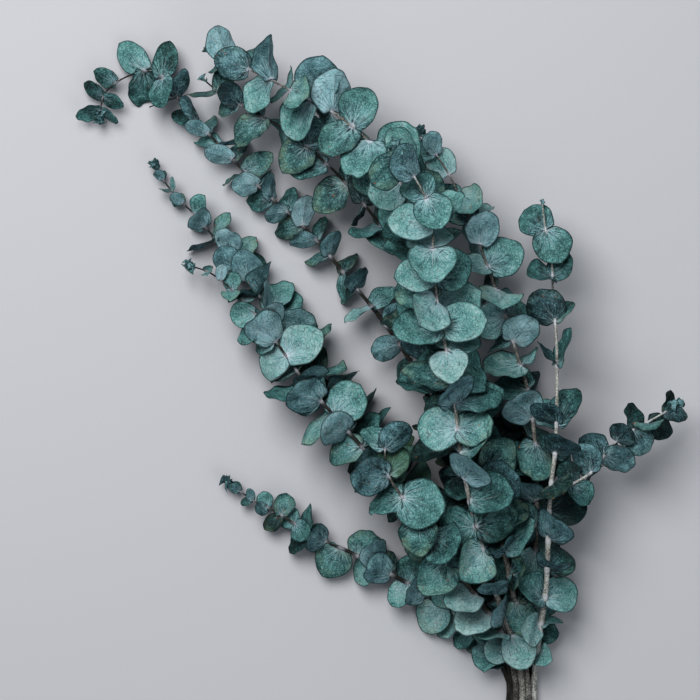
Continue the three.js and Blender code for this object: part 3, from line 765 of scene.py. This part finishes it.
def add_wood(piece, shoot, dark, joints, rng):
    """Round bark along a shoot, swollen at every pair of leaves, with a pale cut end."""
    trace = shoot["trace"]
    total = trace["total"]
    count = int(total / WOOD_STEP)
    along = np.linspace(0, total + TIP_WOOD * shoot["bud"], count + 1)
    angle = np.arange(WOOD_SIDES) * 2 * math.pi / WOOD_SIDES
    # Two of these four draws are used. The others keep the later leaves as they are.
    starts = [wave_start(rng) for _ in range(4)]
    points, place, dust = [], [], []
    for s in along:
        root = place_at(trace, min(s, total))
        origin = root["origin"] + root["along"] * max(0, s - total)
        near = min(abs(s - joint) for joint in joints)
        radius = WOOD_RADIUS * side_at(shoot, min(s, total))
        radius *= 1 + SWELLING * math.exp(-(near / SWELLING_LENGTH) ** 2)
        radius *= 1 - TIP_TAPER * smooth(total, along[-1], s)
        radius = radius * sum((high * np.sin(waves * angle + s * turn + start)
                               for (high, waves, turn), start in zip(BARK_WAVES, starts)), 1)
        points.append(origin + np.outer(radius * np.cos(angle), root["across"])
                      + np.outer(radius * np.sin(angle), root["up"]))
        pattern = np.full(WOOD_SIDES, s * BARK_PATTERN)
        place.append(np.stack([np.cos(angle), np.sin(angle), pattern], 1))
        dust += [math.exp(-(near / DUST_LENGTH) ** 2)] * WOOD_SIDES
    points = np.concatenate(points)
    points[:, 2] = np.maximum(points[:, 2], OFF_FLOOR)
    place = np.concatenate(place)
    faces = []
    for i in range(count):
        for k in range(WOOD_SIDES):
            a = i * WOOD_SIDES + k
            b = i * WOOD_SIDES + (k + 1) % WOOD_SIDES
            faces.append((a, b, b + WOOD_SIDES, a + WOOD_SIDES))
    faces.append(tuple(range(len(points) - WOOD_SIDES, len(points))))
    kinds = np.tile([dark, 0.0, 0.0, rng.random()], (len(points), 1))
    kinds[:, 2] = dust
    piece.add(points, faces, place, kinds)
    is_cut = 1.0 if shoot["straight"] else 0.0
    cut_kinds = np.tile([dark, is_cut, 0.0, 0.5], (WOOD_SIDES, 1))
    cut_face = tuple(reversed(range(WOOD_SIDES)))
    piece.add(points[:WOOD_SIDES], [cut_face], place[:WOOD_SIDES], cut_kinds)


class Value:
    """A number that changes over a surface. Sums on it add Math nodes to its finish."""

    def __init__(self, finish, socket):
        self.finish = finish
        self.socket = socket

    def sum(self, operation, *values):
        node = self.finish.add("ShaderNodeMath", {"operation": operation}, dict(enumerate(values)))
        return Value(self.finish, node.outputs[0])

    def __add__(self, other):
        return self.sum("ADD", self, other)

    def __sub__(self, other):
        return self.sum("SUBTRACT", self, other)

    def __mul__(self, other):
        return self.sum("MULTIPLY", self, other)

    def __radd__(self, other):
        return self.sum("ADD", other, self)

    def __rsub__(self, other):
        return self.sum("SUBTRACT", other, self)

    def __rmul__(self, other):
        return self.sum("MULTIPLY", other, self)

    def __abs__(self):
        return self.sum("ABSOLUTE", self)

    def bounced(self, top):
        """Runs up to top and back down to 0, again and again."""
        return self.sum("PINGPONG", self, top)

    def rising(self, low, high):
        """0 below low, 1 above high and soft between them."""
        node = self.finish.add(
            "ShaderNodeMapRange", {"interpolation_type": "SMOOTHSTEP"},
            {"Value": self, "From Min": low, "From Max": high},
        )
        return Value(self.finish, node.outputs["Result"])


class Finish:
    """A material built from nodes."""

    def __init__(self, name):
        self.material = bpy.data.materials.new(name)
        self.material.use_nodes = True
        self.tree = self.material.node_tree
        self.tree.nodes.clear()
        self.points = self.add("ShaderNodeTexCoord").outputs["Object"]

    def add(self, kind, settings=None, inputs=None):
        node = self.tree.nodes.new(kind)
        for name, value in (settings or {}).items():
            if name == "stops":
                self.set_stops(node.color_ramp, value)
            else:
                setattr(node, name, value)
        for name, value in (inputs or {}).items():
            if isinstance(value, Value):
                value = value.socket
            if isinstance(value, bpy.types.NodeSocket):
                self.tree.links.new(value, node.inputs[name])
            else:
                node.inputs[name].default_value = value
        return node

    def set_stops(self, ramp, stops):
        while len(ramp.elements) < len(stops):
            ramp.elements.new(0.5)
        for element, (place, colour) in zip(ramp.elements, stops):
            element.position = place
            element.color = (*colour, 1)

    def stored(self, name):
        """What the piece's points hold under a name: three numbers and a fourth."""
        node = self.add("ShaderNodeAttribute", {"attribute_name": name})
        parts = self.add("ShaderNodeSeparateXYZ", {}, {"Vector": node.outputs["Vector"]})
        return [Value(self, socket) for socket in (*parts.outputs, node.outputs["Alpha"])]

    def noise(self, size, detail=3, rough=0.55):
        """Noise with blotches of about that size in millimetres, between 0 and 1."""
        node = self.add(
            "ShaderNodeTexNoise", {},
            {"Vector": self.points, "Scale": 1 / (size * MM), "Detail": detail, "Roughness": rough},
        )
        return Value(self, node.outputs["Fac"])

    def noise_at(self, point, scale, detail):
        """Noise at a point of one's own, between 0 and 1."""
        node = self.add(
            "ShaderNodeTexNoise", {}, {"Vector": point, "Scale": scale, "Detail": detail},
        )
        return Value(self, node.outputs["Fac"])

    def cells_at(self, point, scale):
        """How far a point of one's own is from the edge of its cell."""
        node = self.add(
            "ShaderNodeTexVoronoi", {"feature": "DISTANCE_TO_EDGE"},
            {"Vector": point, "Scale": scale},
        )
        return Value(self, node.outputs["Distance"])

    def point(self, x, y, z):
        return self.add("ShaderNodeCombineXYZ", {}, {"X": x, "Y": y, "Z": z}).outputs["Vector"]

    def length(self, x, y):
        squares = x * x + y * y
        return squares.sum("POWER", squares, 0.5)

    def angle(self, y, x):
        return y.sum("ARCTAN2", y, x)

    def blend(self, share, low, high):
        """One colour turning into another."""
        low, high = (colour if hasattr(colour, "links") else (*colour, 1) for colour in (low, high))
        node = self.add(
            "ShaderNodeMix", {"data_type": "RGBA", "blend_type": "MIX", "clamp_factor": True},
            {0: share, 6: low, 7: high},
        )
        return node.outputs[2]

    def ramp(self, share, stops):
        return self.add("ShaderNodeValToRGB", {"stops": stops}, {"Fac": share}).outputs["Color"]

    def close(self, colour, rough, height, depth, **fixed):
        """The surface itself, with its relief and its fixed numbers."""
        bump = self.add("ShaderNodeBump", {}, {"Height": height, "Distance": depth, "Strength": 1})
        shader = self.add(
            "ShaderNodeBsdfPrincipled", {},
            {"Base Color": colour, "Roughness": rough, "Normal": bump.outputs["Normal"],
             **{name.replace("_", " "): value for name, value in fixed.items()}},
        )
        out = self.add("ShaderNodeOutputMaterial")
        self.tree.links.new(shader.outputs["BSDF"], out.inputs["Surface"])
        return self.material


def leaf_finish():
    """Dyed, dried leaf: mottled teal with pale dust, blue-grey underneath, streaked from its root.

    place holds u along the leaf, v across it and rho from its middle to its edge. kind holds how
    light it is, painted shade included, its hue, 1 on its upper face, and a draw of its own.
    """
    finish = Finish("dyed_leaf")
    u, v, rho, _ = finish.stored("place")
    tone, hue, face, own = finish.stored("kind")
    across = abs(v)
    away = finish.length(u, v)
    turn = finish.angle(v, u + FAN_ROOT)
    lit = tone.rising(-0.1, 0.75)

    # Patterns
    blotch = finish.noise(9, 2)
    mottle = finish.noise(2.2, 4, 0.75)
    grain = finish.noise(0.9, 3, 0.75)
    streak = finish.noise_at(finish.point(turn * 6 + own * 40, away * 1.6, own * 9), 1.5, 4)
    ray = finish.noise_at(finish.point(turn * 9 + own * 60, away * 2.4, own * 7), 1.7, 4)
    cell = finish.cells_at(
        finish.point(turn * 3.2 + (mottle - 0.5) * 0.7, away * 6.5 + own * 30, own * 9), 1.5)
    near = 1 - away.rising(0.05, 0.8)
    streaks = streak.rising(0.45, 0.66) * near
    rays = (ray - 0.5) * 2.4 * (1 - away.rising(0.15, 0.75))
    star = ray.rising(0.5, 0.62) * (1 - away.rising(0.06, 0.3))
    midrib = (1 - across.rising(0.003, 0.014)) * (1 - u.rising(0.4, 0.95))
    branch = ((u - across * 0.8) * 5.5 + own * 3 + (blotch - 0.5) * 0.8).bounced(0.5)
    branches = (1 - branch.rising(0.0, 0.06)) * (1 - rho.rising(0.8, 0.96))
    net = (1 - cell.rising(0.0, 0.13)) * mottle.rising(0.44, 0.58) * away.rising(0.15, 0.4)

    # Dye, from the middle to the edge and from the upper face to the lower one
    margin = rho.rising(0.45, 0.9) * (0.16 - own * 0.3)
    shade = tone + margin + rays + (blotch - 0.5) * 0.9 + (mottle - 0.5) + (grain - 0.5) * 1.3
    greyed = finish.ramp(shade, GREYED)
    colour = finish.blend(near * (0.15 + hue * 0.55), finish.ramp(shade, DYED), greyed)
    colour = finish.blend((1 - hue.rising(0.0, 0.08)) * 0.4, colour, UNDYED)
    faded = rho.rising(0.3, 0.95) * blotch.rising(0.42, 0.62) * own.rising(0.6, 0.75)
    colour = finish.blend(faded * 0.4, colour, FADED)
    colour = finish.blend((1 - face) * 0.72, colour, greyed)

    # Dust, veins, the pale root, the dark rim and a few rusty specks
    dust = (mottle * 0.45 + grain * 0.55).rising(0.48, 0.62)
    dust = dust * (0.08 + hue * 0.18 + 0.1 * lit) * lit
    colour = finish.blend(dust, colour, LEAF_DUST)
    colour = finish.blend(net * 0.7, colour, NET)
    veins = (streaks * 0.6 + midrib * 0.35 + branches * 0.16).rising(0, 1) * (0.35 + 0.65 * lit)
    colour = finish.blend(veins, colour, VEIN)
    root = ((1 - away.rising(0.02, 0.11)) + star * 0.6).rising(0, 1)
    colour = finish.blend(root * (0.35 + 0.6 * lit), colour, ROOT)
    colour = finish.blend(rho.rising(0.915, 0.98) * 0.8, colour, RIM)
    rust = finish.noise(1.6, 1, 0.3).rising(0.75, 0.78) * own.rising(0.55, 0.65) * 0.85
    colour = finish.blend(rust, colour, RUST)

    rough = 0.72 - mottle * 0.15 + dust * 0.3
    height = branches * 0.25 + midrib * 0.5 + mottle + grain * 0.35 + streaks * 0.3
    height = height + rays * 0.25 - net * 0.3
    return finish.close(colour, rough, height, depth=0.0005, Specular_IOR_Level=0.22)


def bark_finish():
    """Thin bark, from dusty pale grey to dark brown, with a pale cut end.

    place holds a direction round the wood and a length along it. kind holds how dark the bark is,
    1 on a cut end, and how near a pair of leaves is.
    """
    finish = Finish("bark")
    place = finish.add("ShaderNodeAttribute", {"attribute_name": "place"}).outputs["Vector"]
    dark, cut, joint, _ = finish.stored("kind")
    stretched = finish.add(
        "ShaderNodeVectorMath", {"operation": "MULTIPLY"}, {0: place, 1: (1.4, 1.4, 2.0)},
    ).outputs["Vector"]
    streak = finish.noise_at(stretched, 2.6, 4)
    blotch = finish.noise(5, 3)
    fleck = finish.noise(1.1, 3, 0.6)
    shade = 0.95 - dark + (blotch - 0.5) * 0.7 + (streak - 0.5) * 0.5 + (fleck - 0.5) * 1.2
    colour = finish.ramp(shade, BARK_RAMP)
    dye = (1 - fleck.rising(0.4, 0.6)) * (0.35 - dark * 0.28)
    colour = finish.blend(dye, colour, BARK_DYE)
    colour = finish.blend(joint * (0.85 - dark * 0.4), colour, JOINT_DUST)
    colour = finish.blend(cut, colour, finish.blend(fleck, CUT_DARK, CUT_PALE))
    rough = 0.7 + fleck * 0.2
    height = streak * 0.6 + fleck * 0.4
    return finish.close(colour, rough, height, depth=0.0004, Specular_IOR_Level=0.25)


def grown_leaves(stem, node, shift):
    """Every shoot of a stem, with the places of its pairs and the leaves that its solid has."""
    corners = node_corners(node, shift)
    shoots = []
    for shoot in make_shoots(stem):
        plans = plan_leaves(shoot)
        poses = [pose for pose in (find_leaf(plan, corners) for plan in plans) if pose]
        joints = sorted({plan["s"] for plan in plans})
        shoots.append((shoot, joints, poses))
    return shoots


def leaf_middle(pose):
    return pose["origin"] + pose["along"] * pose["size"] / 2


def depth_of(middle, middles):
    """How deep in the bunch a leaf is, for its painted shade: 0 on top, 1 under many others."""
    away = middles - middle
    over = (np.hypot(away[:, 0], away[:, 1]) < DEEP_AWAY) & (away[:, 2] > DEEP_UNDER)
    return min(1.0, over.sum() / DEEP_COUNT)


def leaf_tone_and_shade(dye, middle, middles, rng):
    """How light a leaf is, from its stem's dye, a draw and the painted shade of where it lies in
    the bunch.
    """
    x, y = middle[0], middle[1]
    past_grip = smooth(*GRIP_REACH, y)
    tone = MIDDLE_TONE + dye + rng.normal(0, TONE_DRAW)
    # Painted shade: a leaf under many others is darker.
    tone += DEPTH_PAINTED_SHADE * depth_of(middle, middles)
    tone += GRIP_TONE * (1 - past_grip)
    tone += FAR_TONE * smooth(*FAR_REACH, -x)
    # Painted shade: the leaves inside the bunch between the grip and the middle are darker.
    tone += LOW_PAINTED_SHADE * past_grip * (1 - smooth(*LOW_SHADE_REACH, y))
    return tone


def is_olive(middle):
    return min(math.hypot(middle[0] - x, middle[1] - y) for x, y in OLIVE) < OLIVE_REACH


def dress(stem, shoots, middles, shift, leaf, bark):
    """The fine leaves and wood of one stem, in place of its solid."""
    name = stem["name"]
    rng = np.random.default_rng(stem["leaf"]["seed"])
    leaves = Piece(name + "_leaves")
    wood = Piece(name + "_wood")
    for shoot, joints, poses in shoots:
        for pose in poses:
            middle = leaf_middle(pose)
            tone = leaf_tone_and_shade(stem["dye"], middle, middles, rng)
            hue = rng.uniform(*HUE_DRAW)
            add_leaf(leaves, pose, tone, 0 if is_olive(middle) else hue, stem["cover"], rng)
        tip_size = shoot["bud"] / FULL_TIP * (OPEN_TIP if name in LEAFY_TIPS else 1)
        add_crumpled_tip(leaves, shoot, tip_size, MIDDLE_TONE, rng)
        add_wood(wood, shoot, stem["bark"], joints, rng)
    leaves.finish(shift, leaf, "leaf", name)
    wood.finish(shift, bark, "stem", name)


def make_floor():
    finish = Finish("plain_paper")
    grain = finish.noise(0.8, 2)
    colour = finish.blend(grain, FLOOR_DARK, FLOOR_PALE)
    material = finish.close(colour, 0.85 + grain * 0.1, grain, depth=0.00005)
    bpy.ops.mesh.primitive_plane_add(size=FLOOR_SIDE, location=(0, 0, 0))
    floor = bpy.context.object
    floor.name = "floor"
    floor.data.materials.append(material)


def soft_light(name, place, target, width, power, colour):
    data = bpy.data.lights.new(name, "AREA")
    data.shape = "DISK"
    data.size = width
    data.energy = power
    data.color = colour
    lamp = bpy.data.objects.new(name, data)
    lamp.location = place
    lamp.rotation_euler = (Vector(target) - Vector(place)).to_track_quat("-Z", "Y").to_euler()
    lamp.visible_camera = False
    bpy.context.scene.collection.objects.link(lamp)


def light_scene():
    world = bpy.data.worlds.new("studio")
    bpy.context.scene.world = world
    world.use_nodes = True
    sky = world.node_tree.nodes["Background"]
    sky.inputs["Color"].default_value = SKY
    sky.inputs["Strength"].default_value = SKY_STRENGTH
    for light in LIGHTS:
        soft_light(**light)


def place_camera(shift):
    """Straight above the bunch, framed as the photograph frames it."""
    data = bpy.data.cameras.new("camera")
    data.sensor_width = SENSOR
    data.lens = LENS
    camera = bpy.data.objects.new("camera", data)
    x, y = CAMERA_OVER
    camera.location = ((shift.x + x) * MM, (shift.y + y) * MM, CAMERA_HEIGHT)
    camera.rotation_euler = (0, 0, 0)
    bpy.context.scene.collection.objects.link(camera)
    bpy.context.scene.camera = camera


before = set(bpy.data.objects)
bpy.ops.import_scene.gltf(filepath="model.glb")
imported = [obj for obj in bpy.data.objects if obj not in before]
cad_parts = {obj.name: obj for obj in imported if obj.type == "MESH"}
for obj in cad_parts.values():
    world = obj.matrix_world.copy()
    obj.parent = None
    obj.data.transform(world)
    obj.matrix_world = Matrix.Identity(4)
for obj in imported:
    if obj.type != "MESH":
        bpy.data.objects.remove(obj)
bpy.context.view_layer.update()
cut_end = next(stem["end"] for stem in STEMS if stem["name"] == STRAIGHT_STEM)
moved = drawn_shift(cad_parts[STRAIGHT_STEM], cut_end)
leaf_material = leaf_finish()
bark_material = bark_finish()
grown = [grown_leaves(stem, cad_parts[stem["name"]], moved) for stem in STEMS]
middles = np.array([
    leaf_middle(pose) for shoots in grown for _, _, poses in shoots for pose in poses
])
for stem, shoots in zip(STEMS, grown):
    dress(stem, shoots, middles, moved, leaf_material, bark_material)
make_floor()
light_scene()
place_camera(moved)
bpy.context.scene.view_settings.view_transform = "Standard"
bpy.context.scene.view_settings.look = "Medium High Contrast"
